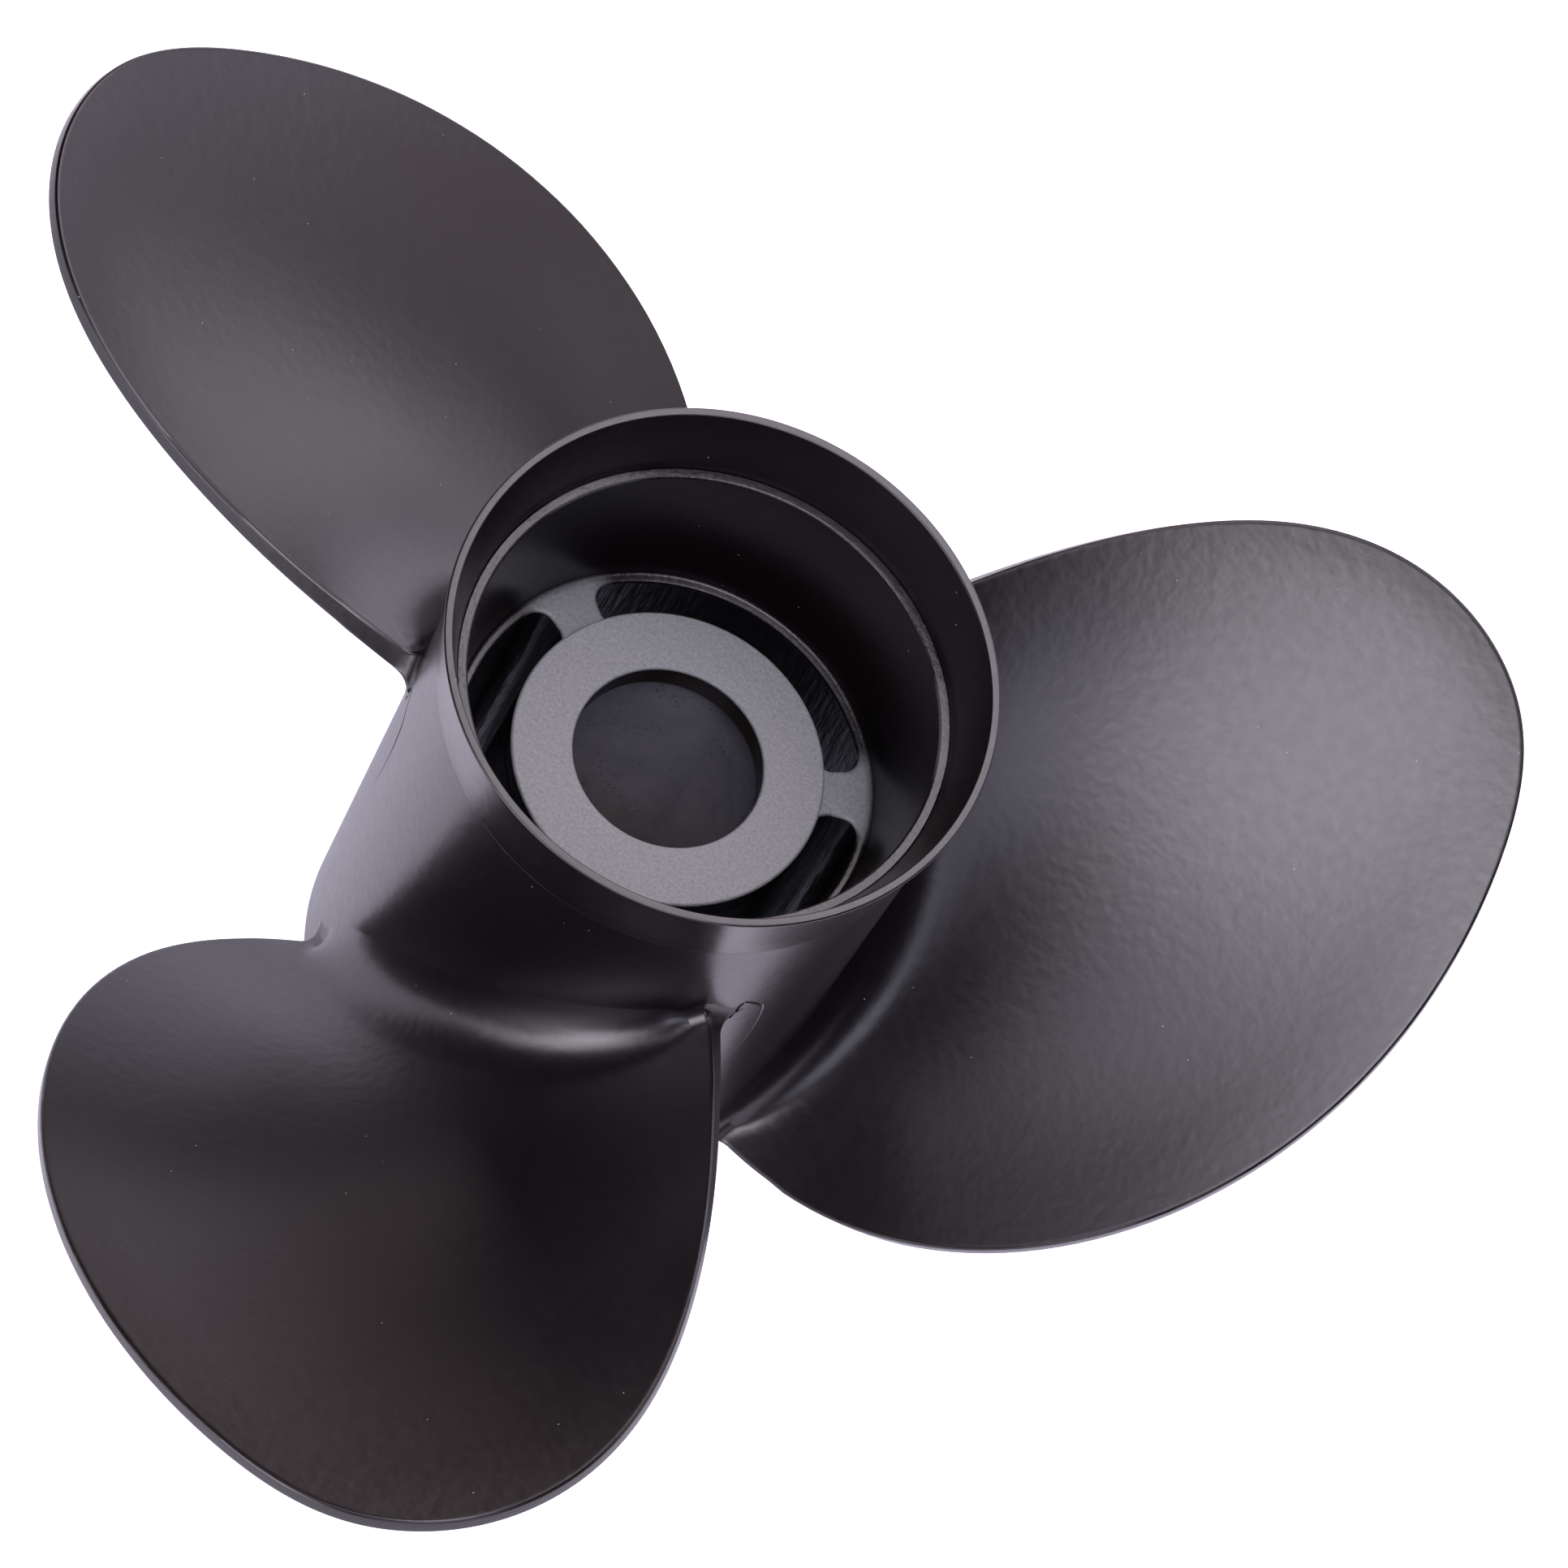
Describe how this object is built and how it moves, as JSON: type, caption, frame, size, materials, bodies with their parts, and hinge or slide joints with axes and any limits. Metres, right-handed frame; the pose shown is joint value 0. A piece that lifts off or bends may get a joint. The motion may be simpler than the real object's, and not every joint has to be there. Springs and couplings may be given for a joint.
{
  "type": "boat propeller",
  "caption": "Black outboard boat propeller: raked blades on a through-hub-exhaust barrel with a flared aft ring and a replaceable splined hub kit.",
  "frame": {"origin": "on the shaft axis, in the plane of the barrel's front end, which the propeller stands on", "axes": "+Z along the shaft axis, pointing aft, towards the exhaust outlet; +X under the first blade's reference line; +Y completes the right-handed frame"},
  "size_m": [0.3285, 0.323, 0.1508],
  "materials": {
    "black_paint": "satin black powder coat on cast aluminium",
    "sleeve_plastic": "black acetal",
    "adapter_brass": "machined and broached",
    "washer_brass": "turned"
  },
  "bodies": {
    "thrust_washer": {"thrust_washer": "washer_brass"},
    "spline_adapter": {"spline_adapter": "adapter_brass"},
    "drive_sleeve": {"drive_sleeve": "sleeve_plastic"},
    "propeller": {"propeller_casting": "black_paint", "diffuser_ring": "black_paint"}
  },
  "joints": [
    {"name": "hub_on_shaft_slide", "type": "slide", "parent": "thrust_washer", "child": "spline_adapter", "axis": [0, 0, 1], "range_m": [0, 0.04]},
    {"name": "hub_torsion", "type": "hinge", "parent": "spline_adapter", "child": "drive_sleeve", "pos_m": [0, 0, 0], "axis": [0, 0, 1], "range_deg": [-6, 6], "stiffness_Nm_per_rad": 1500},
    {"name": "propeller_off_sleeve", "type": "slide", "parent": "drive_sleeve", "child": "propeller", "axis": [0, 0, 1], "range_m": [0, 0.1]}
  ]
}
